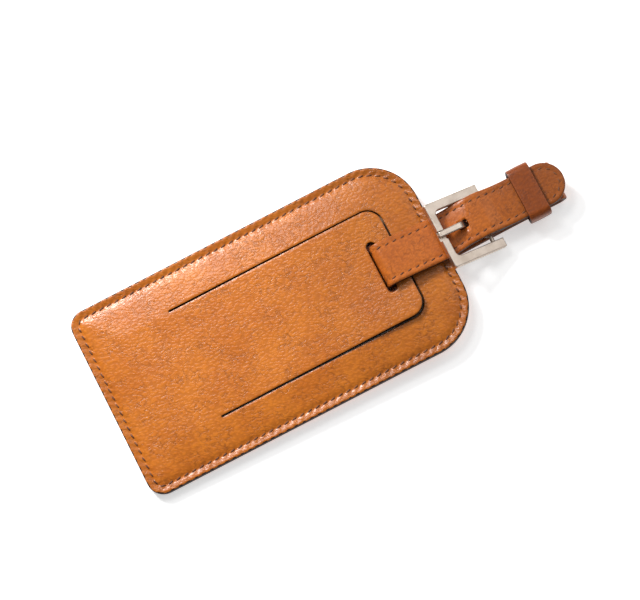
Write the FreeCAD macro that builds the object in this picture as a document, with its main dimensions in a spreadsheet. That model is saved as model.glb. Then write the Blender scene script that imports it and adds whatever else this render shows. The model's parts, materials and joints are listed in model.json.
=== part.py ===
import FreeCAD, Part
import math
import os
import Sketcher

# A leather luggage tag lying on its back. The tag's long axis is X, with its strap end at +X.
# Z is up and z = 0 is the surface it lies on. Lengths are in millimetres, angles in degrees.
# The strap makes one loop: from its tip left over the heel pin, under the toe bar, over the tag's
# front and down through the slot, then right beneath the tag, round a fold and back to the pin.

V = FreeCAD.Vector
doc = FreeCAD.newDocument("luggage_tag")

DIMENSIONS = [
    # tag body
    ("tag_length", 115.0), ("tag_width", 63.5), ("strap_end_corner", 16.0), ("far_end_corner", 5.2),
    ("panel_leather", 1.0), ("board_thickness", 0.4), ("lining_thickness", 0.3),
    ("window_thickness", 0.5), ("window_film", 0.15), ("layer_inset", 0.4), ("edge_round", 0.35),
    ("tag_tilt", 1.25), ("overall_length", 158.0),
    # general: how far a cut runs past a face, a height above everything, a nearly square corner
    ("overshoot", 0.1), ("cut_top", 12.5), ("square_corner", 0.05),
    # card, and the recess that it slides in
    ("card_length", 86.0), ("card_width", 50.0), ("card_thickness", 0.25), ("card_start", 4.2),
    ("card_corner", 1.5), ("card_play", 2.2), ("card_gap", 0.05), ("recess_end_gap", 0.6),
    ("recess_side_gap", 0.4), ("recess_corner", 0.5),
    # flap
    ("hinge_line", 29.8), ("flap_end", 101.6), ("flap_width", 36.4), ("flap_corner", 4.8),
    ("cut_gap", 0.3), ("flap_raise", 0.9),
    # strap slot
    ("slot_start", 93.4), ("slot_width", 3.1), ("slot_length", 17.5), ("slot_end_radius", 1.54),
    # stitching
    ("stitch_inset", 2.4), ("thread_width", 0.6), ("thread_depth", 0.2),
    ("strap_stitch_inset", 1.8), ("strap_thread_proud", 0.15),
    # strap: heights are those of its middle, places along X are from the tag's far edge
    ("strap_width", 14.0), ("outer_leather", 1.0), ("strap_thickness", 1.9),
    ("swing_line", 113.6), ("swing_gap", 0.8),
    # strap, root: down from the toe bar's level to the crest, then down through the slot
    ("crest_x", 97.5), ("crest_slope", 0.12), ("crest_bend", 3.0), ("crest_height", 9.5),
    ("riser_centre", 95.05), ("riser_top_bend", 1.7), ("riser_foot_bend", 1.6),
    ("root_thread_end", 4.0),
    # strap, upper run: from the tip over the pin, a crease at the prong's hole, under the toe bar
    ("tip_height", 6.92), ("pin_pass_height", 7.58), ("toe_pass_height", 7.2),
    ("tip_run_end", 134.6), ("pin_pass_start", 131.0), ("crease_x", 124.1), ("toe_run_start", 118.5),
    ("toe_run_past_swing", 1.0), ("pass_bend", 5.0), ("crease_bend", 4.0), ("toe_bend", 8.0),
    # strap, lower run and chape: round the fold, back to the pin and round it
    ("fold_end", 156.7), ("chape_run_height", 4.75), ("chape_neck", 4.1), ("chape_shoulder", 1.3),
    ("chape_bend", 2.0), ("chape_tail_end", 139.0), ("chape_tail_gap", 0.05), ("lining_stop", 0.4),
    ("chape_row_start", 5.6), ("chape_row_width", 0.5), ("chape_row_corner", 0.2),
    ("chape_row_height", 0.12),
    # holes for the prong: through the upper run, and through the turned end round the pin
    ("prong_hole_start", 121.9), ("prong_hole_end", 125.6), ("prong_hole_corner", 0.5),
    ("prong_slot_start", 126.5), ("prong_slot_end", 131.9), ("prong_slot_corner", 0.4),
    ("prong_slot_width", 2.9), ("prong_slot_above_pin", 2.3), ("prong_slot_depth", 4.8),
    # buckle: the frame has slid sideways on the strap by frame_offset
    ("pin_reach", 129.3), ("pin_height", 4.7), ("pin_radius", 0.7), ("frame_width", 22.0),
    ("frame_opening", 16.0), ("frame_thickness", 2.2), ("toe_reach", 15.8), ("toe_bar", 2.35),
    ("arm_past_pin", 3.3), ("frame_inner_corner", 1.6), ("frame_outer_corner", 0.7),
    ("arm_end_corner", 0.3), ("frame_edge_round", 0.3), ("frame_tilt", 21.0), ("frame_offset", 0.5),
    ("press_clearance", 0.01), ("turning_clearance", 0.05),
    ("notch_depth", 1.3), ("notch_width", 3.2), ("notch_corner", 0.1),
    # prong: distances are from the pin's centre, back towards the tag and up
    ("prong_width", 2.0), ("prong_thickness", 1.2), ("prong_eye", 1.6),
    ("prong_root_back", 0.5), ("prong_root_up", 0.2), ("prong_foot_back", 4.9),
    ("prong_foot_up", 0.35), ("prong_foot_bend", 1.3), ("prong_knee_back", 6.5),
    ("prong_knee_up", 4.65), ("prong_knee_bend", 1.5), ("prong_tip_back", 14.6),
    ("prong_tip_up", 6.1),
    # keeper
    ("keeper_start", 142.45), ("keeper_length", 7.2), ("keeper_outer", 17.9), ("keeper_inner", 15.5),
    ("keeper_bottom", 2.4), ("keeper_height", 7.0), ("keeper_wall", 1.2), ("keeper_corner", 2.2),
    ("keeper_seam_margin", 1.0), ("keeper_seam_width", 0.6), ("keeper_seam_corner", 0.2),
    ("keeper_seam_height", 0.15),
]

sheet = doc.addObject("Spreadsheet::Sheet", "dims")
for row, (alias, number) in enumerate(DIMENSIONS, start=1):
    sheet.set(f"A{row}", alias.replace("_", " "))
    sheet.set(f"B{row}", str(number))
    sheet.setAlias(f"B{row}", alias)
doc.recompute()


def dim(alias):
    return float(sheet.get(alias))


# Heights of the tag's layers above its own back face, as expressions on the sheet
BACK_TOP = "dims.panel_leather"
BOARD_TOP = f"{BACK_TOP} + dims.board_thickness"
BACK_LINING_TOP = f"{BOARD_TOP} + dims.lining_thickness"
WINDOW_TOP = f"{BACK_LINING_TOP} + dims.window_thickness"
FRONT_LINING_TOP = f"{WINDOW_TOP} + dims.lining_thickness"
FRONT_TOP = f"{FRONT_LINING_TOP} + dims.panel_leather"

nodes = []


def new_body(label):
    body = doc.addObject("PartDesign::Body", label)
    body.Label = label
    nodes.append(body)
    return body


def plane(body, role):
    return next(feature for feature in body.Origin.OriginFeatures if feature.Role == role)


def new_sketch(body, name, role="XY_Plane", height=None):
    sketch = body.newObject("Sketcher::SketchObject", name)
    sketch.AttachmentSupport = [(plane(body, role), "")]
    sketch.MapMode = "FlatFace"
    if height is not None:
        sketch.setExpression("AttachmentOffset.Base.z", height)
    return sketch


def bind(sketch, constraint, name, expression):
    index = sketch.addConstraint(constraint)
    sketch.renameConstraint(index, name)
    sketch.setExpression(f"Constraints.{name}", expression)


def value(expression):
    """The number an expression on the sheet stands for."""
    return float(doc.getObject("dims").evalExpression(expression))


def rounded_box(sketch, prefix, left, right, half_width, left_radius, right_radius):
    """A rectangle about the X axis with one radius at its left corners and one at its right."""
    x0, x1, y1 = value(left), value(right), value(half_width)
    r0, r1 = value(left_radius), value(right_radius)
    z_axis = V(0, 0, 1)
    first = sketch.GeometryCount
    sketch.addGeometry([
        Part.LineSegment(V(x0 + r0, -y1, 0), V(x1 - r1, -y1, 0)),
        Part.ArcOfCircle(Part.Circle(V(x1 - r1, r1 - y1, 0), z_axis, r1), 1.5 * math.pi, 2 * math.pi),
        Part.LineSegment(V(x1, r1 - y1, 0), V(x1, y1 - r1, 0)),
        Part.ArcOfCircle(Part.Circle(V(x1 - r1, y1 - r1, 0), z_axis, r1), 0, 0.5 * math.pi),
        Part.LineSegment(V(x1 - r1, y1, 0), V(x0 + r0, y1, 0)),
        Part.ArcOfCircle(Part.Circle(V(x0 + r0, y1 - r0, 0), z_axis, r0), 0.5 * math.pi, math.pi),
        Part.LineSegment(V(x0, y1 - r0, 0), V(x0, r0 - y1, 0)),
        Part.ArcOfCircle(Part.Circle(V(x0 + r0, r0 - y1, 0), z_axis, r0), math.pi, 1.5 * math.pi),
    ], False)
    for side in range(8):
        after = (side + 1) % 8
        sketch.addConstraint(Sketcher.Constraint("Tangent", first + side, 2, first + after, 1))
    for side, kind in ((0, "Horizontal"), (2, "Vertical"), (4, "Horizontal"), (6, "Vertical")):
        sketch.addConstraint(Sketcher.Constraint(kind, first + side))
    for corner, radius, expression in ((1, r1, right_radius), (3, r1, right_radius),
                                       (5, r0, left_radius), (7, r0, left_radius)):
        constraint = Sketcher.Constraint("Radius", first + corner, radius)
        bind(sketch, constraint, f"{prefix}_corner_{corner}", expression)
    origin = (-1, 1)
    bind(sketch, Sketcher.Constraint("DistanceX", *origin, first + 2, 1, x1), f"{prefix}_right", right)
    bind(sketch, Sketcher.Constraint("DistanceX", *origin, first + 6, 1, x0), f"{prefix}_left", left)
    bind(sketch, Sketcher.Constraint("DistanceY", *origin, first + 4, 1, y1), f"{prefix}_top", half_width)
    bind(sketch, Sketcher.Constraint("DistanceY", first, 1, *origin, y1), f"{prefix}_bottom", half_width)


def pad(body, sketch, length, both_ways=False):
    feature = body.newObject("PartDesign::Pad", sketch.Name + "_pad")
    feature.Profile = sketch
    if both_ways:
        feature.SideType = "Symmetric"
    feature.setExpression("Length", length)
    doc.recompute()
    return feature


def pocket(body, sketch, length, both_ways=False):
    """Cut downwards from the sketch, and stop if nothing was cut."""
    before = body.Shape.Volume
    feature = body.newObject("PartDesign::Pocket", sketch.Name + "_pocket")
    feature.Profile = sketch
    if both_ways:
        feature.SideType = "Symmetric"
    feature.setExpression("Length", length)
    doc.recompute()
    if body.Shape.Volume > before - 0.01:
        raise RuntimeError(f"{feature.Name} cut nothing")
    return feature


def round_edges(body, radius, wanted):
    """Fillet the edges of the body's last feature that the function wanted picks."""
    base = body.Tip
    names = [f"Edge{i}" for i, edge in enumerate(base.Shape.Edges, start=1) if wanted(edge)]
    feature = body.newObject("PartDesign::Fillet", body.Name + "_round")
    feature.Base = (base, names)
    feature.setExpression("Radius", radius)
    doc.recompute()


def place(body, x="0", y="0", z="0", tilt="0"):
    """Put a body in the row frame: x from the tag's far edge, z up, +X end raised by tilt."""
    body.Placement = FreeCAD.Placement(V(), FreeCAD.Rotation(V(0, 1, 0), -value(tilt)))
    body.setExpression("Placement.Rotation.Angle", f"-({tilt}) * 1 deg")
    body.setExpression("Placement.Base.x", f"{x} - dims.overall_length / 2")
    body.setExpression("Placement.Base.y", y)
    body.setExpression("Placement.Base.z", z)


# ---------------------------------------------------------------- tag body

SLOT = ("dims.slot_start", "dims.slot_start + dims.slot_width", "dims.slot_length / 2",
        "dims.slot_end_radius", "dims.slot_end_radius")


def tag_outline(sketch, prefix, inset):
    rounded_box(sketch, prefix, f"{inset}", f"dims.tag_length - ({inset})",
                f"dims.tag_width / 2 - ({inset})", f"dims.far_end_corner - ({inset})",
                f"dims.strap_end_corner - ({inset})")


def flap_outline(sketch, prefix, grow):
    """The flap's outline. Its far side is the hinge line, where it has square corners."""
    rounded_box(sketch, prefix, f"dims.hinge_line - ({grow})", f"dims.flap_end + ({grow})",
                f"dims.flap_width / 2 + ({grow})", "dims.square_corner",
                f"dims.flap_corner + ({grow})")


def tag_layer(label, inset, bottom, thickness):
    body = new_body(label)
    sketch = new_sketch(body, label + "_outline", height=bottom)
    tag_outline(sketch, "outline", inset)
    pad(body, sketch, thickness)
    return body


def cut_slot(body, top, depth):
    sketch = new_sketch(body, body.Name + "_slot", height=top)
    rounded_box(sketch, "slot", *SLOT)
    pocket(body, sketch, depth)


def cut_flap_opening(body, top, depth):
    sketch = new_sketch(body, body.Name + "_opening", height=top)
    flap_outline(sketch, "opening", "dims.cut_gap")
    pocket(body, sketch, depth)


def stitch_ring(sketch):
    tag_outline(sketch, "outer", "dims.stitch_inset - dims.thread_width / 2")
    tag_outline(sketch, "inner", "dims.stitch_inset + dims.thread_width / 2")


def cut_stitch_groove(body, top):
    sketch = new_sketch(body, body.Name + "_groove", height=top)
    stitch_ring(sketch)
    pocket(body, sketch, "dims.thread_depth")


def edge_at(height):
    """Picks the edges that lie at one height."""
    return lambda edge: max(abs(edge.BoundBox.ZMin - height), abs(edge.BoundBox.ZMax - height)) < 1e-4


def make_back_panel():
    body = tag_layer("back_panel", "0", "0", "dims.panel_leather")
    round_edges(body, "dims.edge_round", edge_at(0.0))
    cut_slot(body, BACK_TOP, "dims.panel_leather + dims.overshoot")
    cut_stitch_groove(body, "dims.thread_depth")
    place(body, tilt="dims.tag_tilt")


def make_back_board():
    body = tag_layer("back_board", "dims.layer_inset", BACK_TOP, "dims.board_thickness")
    cut_slot(body, BOARD_TOP, "dims.board_thickness + dims.overshoot")
    place(body, tilt="dims.tag_tilt")


def make_back_lining():
    body = tag_layer("back_lining", "dims.layer_inset / 2", BOARD_TOP, "dims.lining_thickness")
    cut_slot(body, BACK_LINING_TOP, "dims.lining_thickness + dims.overshoot")
    place(body, tilt="dims.tag_tilt")


def make_card_window():
    """Clear film with a thicker sewn border. The card lies in the recess under the film."""
    body = tag_layer("card_window", "dims.layer_inset", BACK_LINING_TOP, "dims.window_thickness")
    cut_slot(body, WINDOW_TOP, "dims.window_thickness + dims.overshoot")
    recess = new_sketch(body, "card_recess", height=f"{WINDOW_TOP} - dims.window_film")
    rounded_box(recess, "recess", "dims.card_start - dims.recess_end_gap",
                "dims.card_start + dims.card_length + dims.card_play",
                "dims.card_width / 2 + dims.recess_side_gap", "dims.recess_corner",
                "dims.recess_corner")
    pocket(body, recess, "dims.window_thickness - dims.window_film")
    place(body, tilt="dims.tag_tilt")


def make_address_card():
    body = new_body("address_card")
    sketch = new_sketch(body, "card_outline", height=f"{BACK_LINING_TOP} + dims.card_gap")
    rounded_box(sketch, "card", "dims.card_start", "dims.card_start + dims.card_length",
                "dims.card_width / 2", "dims.card_corner", "dims.card_corner")
    pad(body, sketch, "dims.card_thickness")
    place(body, tilt="dims.tag_tilt")


def make_front_lining():
    body = tag_layer("front_lining", "dims.layer_inset / 2", WINDOW_TOP, "dims.lining_thickness")
    cut_flap_opening(body, FRONT_LINING_TOP, "dims.lining_thickness + dims.overshoot")
    place(body, tilt="dims.tag_tilt")


def make_front_panel():
    body = tag_layer("front_panel", "0", FRONT_LINING_TOP, "dims.panel_leather")
    round_edges(body, "dims.edge_round", edge_at(value(FRONT_TOP)))
    cut_flap_opening(body, FRONT_TOP, "dims.panel_leather + dims.overshoot")
    cut_stitch_groove(body, FRONT_TOP)
    place(body, tilt="dims.tag_tilt")


def make_tag_stitching():
    for label, bottom in (("back_stitching", "0"), ("front_stitching", f"{FRONT_TOP} - dims.thread_depth")):
        body = new_body(label)
        sketch = new_sketch(body, label + "_ring", height=bottom)
        stitch_ring(sketch)
        pad(body, sketch, "dims.thread_depth")
        place(body, tilt="dims.tag_tilt")


def make_flap_layer(label, bottom, thickness, top):
    """One layer of the flap. It is raised by turning about the hinge line, not the tag's corner."""
    body = new_body(label)
    sketch = new_sketch(body, label + "_outline", height=bottom)
    flap_outline(sketch, "outline", "0")
    pad(body, sketch, thickness)
    cut_slot(body, top, f"{thickness} + dims.overshoot")
    hinge, mid = dim("hinge_line"), value(FRONT_LINING_TOP)
    tilt, raised = math.radians(dim("tag_tilt")), math.radians(dim("tag_tilt") + dim("flap_raise"))
    shift_x = hinge * (math.cos(tilt) - math.cos(raised)) - mid * (math.sin(tilt) - math.sin(raised))
    shift_z = hinge * (math.sin(tilt) - math.sin(raised)) + mid * (math.cos(tilt) - math.cos(raised))
    place(body, x=f"{shift_x}", z=f"{shift_z}", tilt="dims.tag_tilt + dims.flap_raise")


# ---------------------------------------------------------------- strap

def ribbon(route, inner, outer):
    """The closed outline of a bent strip, as edges in the XZ plane drawn as (x, z).

    route is a list of (x, z, bend radius) corners. inner and outer are the offsets of the
    strip's two faces to the left of the way it runs."""
    def unit(a, b):
        length = math.hypot(b[0] - a[0], b[1] - a[1])
        return (b[0] - a[0]) / length, (b[1] - a[1]) / length

    pieces, start = [], route[0]
    for before, corner, after in zip(route, route[1:], route[2:]):
        into, out = unit(before, corner), unit(corner, after)
        turn = math.atan2(into[0] * out[1] - into[1] * out[0], into[0] * out[0] + into[1] * out[1])
        reach = corner[2] * math.tan(abs(turn) / 2)
        first = (corner[0] - into[0] * reach, corner[1] - into[1] * reach)
        last = (corner[0] + out[0] * reach, corner[1] + out[1] * reach)
        side = math.copysign(1, turn)
        centre = (first[0] - into[1] * corner[2] * side, first[1] + into[0] * corner[2] * side)
        if math.hypot(first[0] - start[0], first[1] - start[1]) > 1e-6:
            pieces.append(("line", start, first, unit(start, first)))
        pieces.append(("arc", first, last, centre, corner[2], side, into, out))
        start = last
    pieces.append(("line", start, route[-1], unit(start, route[-1])))

    def moved(point, way, offset):
        return V(point[0] - way[1] * offset, point[1] + way[0] * offset, 0)

    def side_edges(offset):
        edges = []
        for piece in pieces:
            if piece[0] == "line":
                _, a, b, way = piece
                edges.append(Part.LineSegment(moved(a, way, offset), moved(b, way, offset)))
                continue
            _, a, b, centre, radius, side, into, out = piece
            circle = Part.Circle(V(*centre, 0), V(0, 0, 1), radius - side * offset)
            ends = [moved(a, into, offset), moved(b, out, offset)]
            if side < 0:
                ends.reverse()
            angles = [math.atan2(p.y - centre[1], p.x - centre[0]) for p in ends]
            if angles[1] < angles[0]:
                angles[1] += 2 * math.pi
            edges.append(Part.ArcOfCircle(circle, *angles))
        return edges

    end = pieces[-1]
    start_way = pieces[0][3]
    start_edge = Part.LineSegment(moved(pieces[0][1], start_way, inner),
                                  moved(pieces[0][1], start_way, outer))
    end_edge = Part.LineSegment(moved(end[2], end[3], inner), moved(end[2], end[3], outer))
    return side_edges(inner) + side_edges(outer) + [start_edge, end_edge]


def draw(sketch, edges):
    """Add the edges and join the ends that meet."""
    sketch.addGeometry(edges, False)
    ends = []
    for index in range(len(edges)):
        for vertex in (1, 2):
            ends.append((sketch.getPoint(index, vertex), index, vertex))
    for i, (point, index, vertex) in enumerate(ends):
        for other, other_index, other_vertex in ends[i + 1:]:
            if other_index != index and (point - other).Length < 1e-6:
                sketch.addConstraint(
                    Sketcher.Constraint("Coincident", index, vertex, other_index, other_vertex))
    for index in range(len(edges)):
        sketch.addConstraint(Sketcher.Constraint("Block", index))


HALF = dim("strap_thickness") / 2
OUTER = (-HALF, dim("outer_leather") - HALF)     # outer leather, on the outside of the loop
LINING = (dim("outer_leather") - HALF, HALF)
THREAD = (-HALF - dim("strap_thread_proud"), -HALF)
LOW = HALF                                      # the lower run lies on the surface
SPLIT_LEFT = dim("swing_line") - dim("swing_gap") / 2
SPLIT_RIGHT = dim("swing_line") + dim("swing_gap") / 2
TOE_RUN_END = SPLIT_RIGHT + dim("toe_run_past_swing")


def sloping_height(x):
    """Height of the strap between its crest and the level run under the toe bar."""
    return dim("toe_pass_height") + dim("crest_slope") * (TOE_RUN_END - x)


def root_route():
    """From the upper run's split back to the slot, down through it, to the lower run's split."""
    riser, crest = dim("riser_centre"), dim("crest_x")
    return [(SPLIT_LEFT, sloping_height(SPLIT_LEFT), 0),
            (crest, sloping_height(crest), dim("crest_bend")),
            (riser, dim("crest_height"), dim("riser_top_bend")),
            (riser, LOW, dim("riser_foot_bend")), (SPLIT_LEFT, LOW, 0)]


def upper_route():
    """From the tip over the heel pin and under the toe bar to the split."""
    tip, over_pin, toe = dim("tip_height"), dim("pin_pass_height"), dim("toe_pass_height")
    bend = dim("pass_bend")
    return [(dim("overall_length"), tip, 0), (dim("tip_run_end"), tip, bend),
            (dim("pin_pass_start"), over_pin, bend), (dim("crease_x"), over_pin, dim("crease_bend")),
            (dim("toe_run_start"), toe, dim("toe_bend")), (TOE_RUN_END, toe, bend),
            (SPLIT_RIGHT, sloping_height(SPLIT_RIGHT), 0)]


def loop_route(with_chape):
    """From the lower run's split round the fold and back to the heel pin."""
    run, pin = dim("chape_run_height"), dim("pin_reach")
    fold = (run - LOW) / 2
    fold_x = dim("fold_end") - HALF
    route = [(SPLIT_RIGHT, LOW, 0), (fold_x, LOW, fold), (fold_x, run, fold)]
    if not with_chape:
        return route + [(dim("chape_tail_end") + dim("lining_stop"), run, 0)]
    wrap = dim("pin_radius") + dim("turning_clearance") + OUTER[1]
    top, bottom = dim("pin_height") + wrap, dim("pin_height") - wrap
    neck, shoulder, bend = pin + dim("chape_neck"), pin + dim("chape_shoulder"), dim("chape_bend")
    tail_height = dim("pin_height") - OUTER[1] - dim("chape_tail_gap")
    return route + [(neck, run, bend), (shoulder, top, bend), (pin - wrap, top, wrap),
                    (pin - wrap, bottom, wrap), (shoulder, bottom, bend), (neck, tail_height, bend),
                    (dim("chape_tail_end"), tail_height, 0)]


def strip(label, route, faces, width="dims.strap_width"):
    body = new_body(label)
    sketch = new_sketch(body, label + "_profile", "XZ_Plane")
    draw(sketch, ribbon(route, *faces))
    pad(body, sketch, width, both_ways=True)
    place(body)
    return body


def cut_box(body, name, box, top="dims.cut_top", depth="dims.cut_top"):
    """Cut a rounded box, down to the surface unless a depth is given."""
    sketch = new_sketch(body, name, height=top)
    rounded_box(sketch, "cut", *box)
    pocket(body, sketch, depth)


def round_tip(body):
    """Cut the upper run's end to a half circle as wide as the strap."""
    reach, half, margin = dim("overall_length"), dim("strap_width") / 2, 2.0
    centre, far, wide = reach - half, reach + margin, half + margin
    corners = [V(centre, half, 0), V(centre, wide, 0), V(far, wide, 0), V(far, -wide, 0),
               V(centre, -wide, 0), V(centre, -half, 0)]
    sketch = new_sketch(body, body.Name + "_tip", height="dims.cut_top")
    circle = Part.Circle(V(centre, 0, 0), V(0, 0, 1), half)
    draw(sketch, [Part.ArcOfCircle(circle, -math.pi / 2, math.pi / 2)]
         + [Part.LineSegment(a, b) for a, b in zip(corners, corners[1:])])
    pocket(body, sketch, "dims.cut_top")


THREAD_ROW = "dims.strap_width / 2 - dims.strap_stitch_inset"
THREAD_OUTER_WIDTH = f"2 * ({THREAD_ROW}) + dims.thread_width"
THREAD_INNER_HALF = f"{THREAD_ROW} - dims.thread_width / 2"


def make_strap_root():
    route = root_route()
    strip("strap_root_leather", route, OUTER)
    strip("strap_root_lining", route, LINING)
    thread_end = (dim("riser_centre"), dim("root_thread_end"), 0)
    body = strip("strap_root_stitching", route[:3] + [thread_end], THREAD, THREAD_OUTER_WIDTH)
    cut_box(body, "root_thread_gap", ("dims.slot_start - dims.slot_width", "dims.swing_line",
                                      THREAD_INNER_HALF, "dims.square_corner", "dims.square_corner"))


def make_strap_loop():
    body = strip("strap_loop_leather", loop_route(True), OUTER)
    cut_box(body, "chape_prong_slot",
            ("dims.prong_slot_start", "dims.prong_slot_end", "dims.prong_slot_width / 2",
             "dims.prong_slot_corner", "dims.prong_slot_corner"),
            "dims.pin_height + dims.prong_slot_above_pin", "dims.prong_slot_depth")
    strip("strap_loop_lining", loop_route(False), LINING)


def make_strap_upper():
    for label, faces in (("strap_upper_leather", OUTER), ("strap_upper_lining", LINING)):
        body = strip(label, upper_route(), faces)
        round_tip(body)
        cut_box(body, label + "_hole",
                ("dims.prong_hole_start", "dims.prong_hole_end", "dims.prong_slot_width / 2",
                 "dims.prong_hole_corner", "dims.prong_hole_corner"))
    route = upper_route()
    route[0] = (dim("overall_length") - dim("strap_stitch_inset"), *route[0][1:])
    body = strip("strap_stitching", route, THREAD, THREAD_OUTER_WIDTH)
    cut_box(body, "thread_gap",
            ("dims.swing_line", "dims.overall_length - dims.strap_stitch_inset - dims.thread_width",
             THREAD_INNER_HALF, "dims.square_corner", f"{THREAD_INNER_HALF} - dims.square_corner"))


def make_chape_stitching():
    """A short row of thread across the chape, where the turned end is sewn under the strap."""
    body = new_body("chape_stitching")
    sketch = new_sketch(body, "chape_row", height="dims.chape_run_height + dims.strap_thickness / 2")
    start = "dims.pin_reach + dims.chape_row_start"
    rounded_box(sketch, "row", start, f"{start} + dims.chape_row_width", THREAD_ROW,
                "dims.chape_row_corner", "dims.chape_row_corner")
    pad(body, sketch, "dims.chape_row_height")
    place(body)


# ---------------------------------------------------------------- buckle, in the heel pin's frame

def circle_about_pin(body, name, radius):
    sketch = new_sketch(body, name, "XZ_Plane")
    sketch.addGeometry(Part.Circle(V(0, 0, 0), V(0, 0, 1), value(radius)), False)
    sketch.addConstraint(Sketcher.Constraint("Coincident", 0, 3, -1, 1))
    bind(sketch, Sketcher.Constraint("Radius", 0, value(radius)), "radius", radius)
    return sketch


def make_buckle_frame():
    """A flat U that opens towards the strap's tip, with a hole through both arms for the pin and
    a notch across the toe bar for the prong's tip."""
    body = new_body("buckle_frame")
    upper_face, corner = "dims.frame_thickness / 2", "dims.arm_end_corner"
    sketch = new_sketch(body, "frame_outline")
    rounded_box(sketch, "outer", "-dims.toe_reach", "dims.arm_past_pin", "dims.frame_width / 2",
                "dims.frame_outer_corner", corner)
    pad(body, sketch, "dims.frame_thickness", both_ways=True)
    inside = new_sketch(body, "frame_inside", height=upper_face)
    rounded_box(inside, "inner", "dims.toe_bar - dims.toe_reach", "2 * dims.arm_past_pin",
                "dims.frame_opening / 2", "dims.frame_inner_corner", corner)
    pocket(body, inside, "dims.frame_thickness + dims.overshoot")
    shortest, half = 4 * dim("arm_end_corner"), dim("frame_thickness") / 2
    round_edges(body, "dims.frame_edge_round",
                lambda edge: edge.Length > shortest and (edge_at(half)(edge) or edge_at(-half)(edge)))
    notch = new_sketch(body, "frame_notch", height=upper_face)
    rounded_box(notch, "notch", "-dims.toe_reach - dims.toe_bar", "2 * dims.toe_bar - dims.toe_reach",
                "dims.notch_width / 2", "dims.notch_corner", "dims.notch_corner")
    pocket(body, notch, "dims.notch_depth")
    bore = circle_about_pin(body, "frame_bore", "dims.pin_radius + dims.press_clearance")
    pocket(body, bore, "dims.frame_width + dims.overshoot", both_ways=True)
    place(body, "dims.pin_reach", "-dims.frame_offset", "dims.pin_height", "-dims.frame_tilt")


def make_heel_pin():
    pin = doc.addObject("Part::Cylinder", "heel_pin")
    pin.Label = "heel_pin"
    pin.setExpression("Radius", "dims.pin_radius")
    pin.setExpression("Height", "dims.frame_width")
    pin.Placement = FreeCAD.Placement(V(0, 0, 0), FreeCAD.Rotation(V(1, 0, 0), 90))
    pin.setExpression("Placement.Base.x", "dims.pin_reach - dims.overall_length / 2")
    pin.setExpression("Placement.Base.y", "dims.frame_width / 2 - dims.frame_offset")
    pin.setExpression("Placement.Base.z", "dims.pin_height")
    nodes.append(pin)


def make_prong():
    """An eye round the pin, a crank up through the strap's hole, and a shank to the toe bar."""
    body = new_body("prong")
    pad(body, circle_about_pin(body, "prong_eye", "dims.prong_eye"), "dims.prong_width", both_ways=True)
    half = dim("prong_thickness") / 2
    route = [(-dim("prong_root_back"), dim("prong_root_up"), 0),
             (-dim("prong_foot_back"), dim("prong_foot_up"), dim("prong_foot_bend")),
             (-dim("prong_knee_back"), dim("prong_knee_up"), dim("prong_knee_bend")),
             (-dim("prong_tip_back"), dim("prong_tip_up"), 0)]
    shank = new_sketch(body, "prong_shank", "XZ_Plane")
    draw(shank, ribbon(route, -half, half))
    pad(body, shank, "dims.prong_width", both_ways=True)
    hole = circle_about_pin(body, "prong_hole", "dims.pin_radius + dims.turning_clearance")
    pocket(body, hole, "dims.prong_width + dims.overshoot", both_ways=True)
    place(body, "dims.pin_reach", z="dims.pin_height")


# ---------------------------------------------------------------- keeper

def make_keeper():
    """A leather band round the strap's upper run and its turned-back run."""
    body = new_body("keeper_band")
    half_height = "dims.keeper_height / 2"
    outer = new_sketch(body, "keeper_outer", "YZ_Plane")
    rounded_box(outer, "outer", "-dims.keeper_outer / 2", "dims.keeper_outer / 2", half_height,
                "dims.keeper_corner", "dims.keeper_corner")
    pad(body, outer, "dims.keeper_length", both_ways=True)
    inner = new_sketch(body, "keeper_inner", "YZ_Plane")
    rounded_box(inner, "inner", "-dims.keeper_inner / 2", "dims.keeper_inner / 2",
                f"{half_height} - dims.keeper_wall", "dims.keeper_corner - dims.keeper_wall",
                "dims.keeper_corner - dims.keeper_wall")
    pocket(body, inner, "dims.keeper_length + dims.overshoot", both_ways=True)
    place(body, "dims.keeper_start + dims.keeper_length / 2",
          z="dims.keeper_bottom + dims.keeper_height / 2")


def make_keeper_stitching():
    """The thread that closes the keeper's ends together, under its lower side."""
    body = new_body("keeper_stitching")
    seam = new_sketch(body, "keeper_seam", height="dims.keeper_bottom - dims.keeper_seam_height")
    rounded_box(seam, "seam", "dims.keeper_start + dims.keeper_seam_margin",
                "dims.keeper_start + dims.keeper_length - dims.keeper_seam_margin",
                "dims.keeper_seam_width / 2", "dims.keeper_seam_corner", "dims.keeper_seam_corner")
    pad(body, seam, "dims.keeper_seam_height")
    place(body)


make_back_panel()
make_back_board()
make_back_lining()
make_card_window()
make_address_card()
make_front_lining()
make_front_panel()
make_tag_stitching()
make_flap_layer("flap_lining", WINDOW_TOP, "dims.lining_thickness", FRONT_LINING_TOP)
make_flap_layer("flap_leather", FRONT_LINING_TOP, "dims.panel_leather", FRONT_TOP)
make_strap_root()
make_strap_loop()
make_strap_upper()
make_chape_stitching()
make_buckle_frame()
make_heel_pin()
make_prong()
make_keeper()
make_keeper_stitching()
doc.recompute()

for thing in doc.Objects:
    if "Invalid" in thing.State or "Error" in thing.State:
        raise RuntimeError(f"{thing.Label} failed: {thing.State}")
os.makedirs("parts", exist_ok=True)
for node in nodes:
    shape = node.Shape
    if shape.isNull() or not shape.isValid():
        raise RuntimeError(f"{node.Label} has a bad shape")
    shape.exportStep(f"parts/{node.Label}.step")
    box = shape.BoundBox
    print(f"{node.Label}: {len(shape.Solids)} solid, {shape.Volume:.1f} mm3, x {box.XMin:.2f} to "
          f"{box.XMax:.2f}, y {box.YMin:.2f} to {box.YMax:.2f}, z {box.ZMin:.2f} to {box.ZMax:.2f}")
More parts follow.
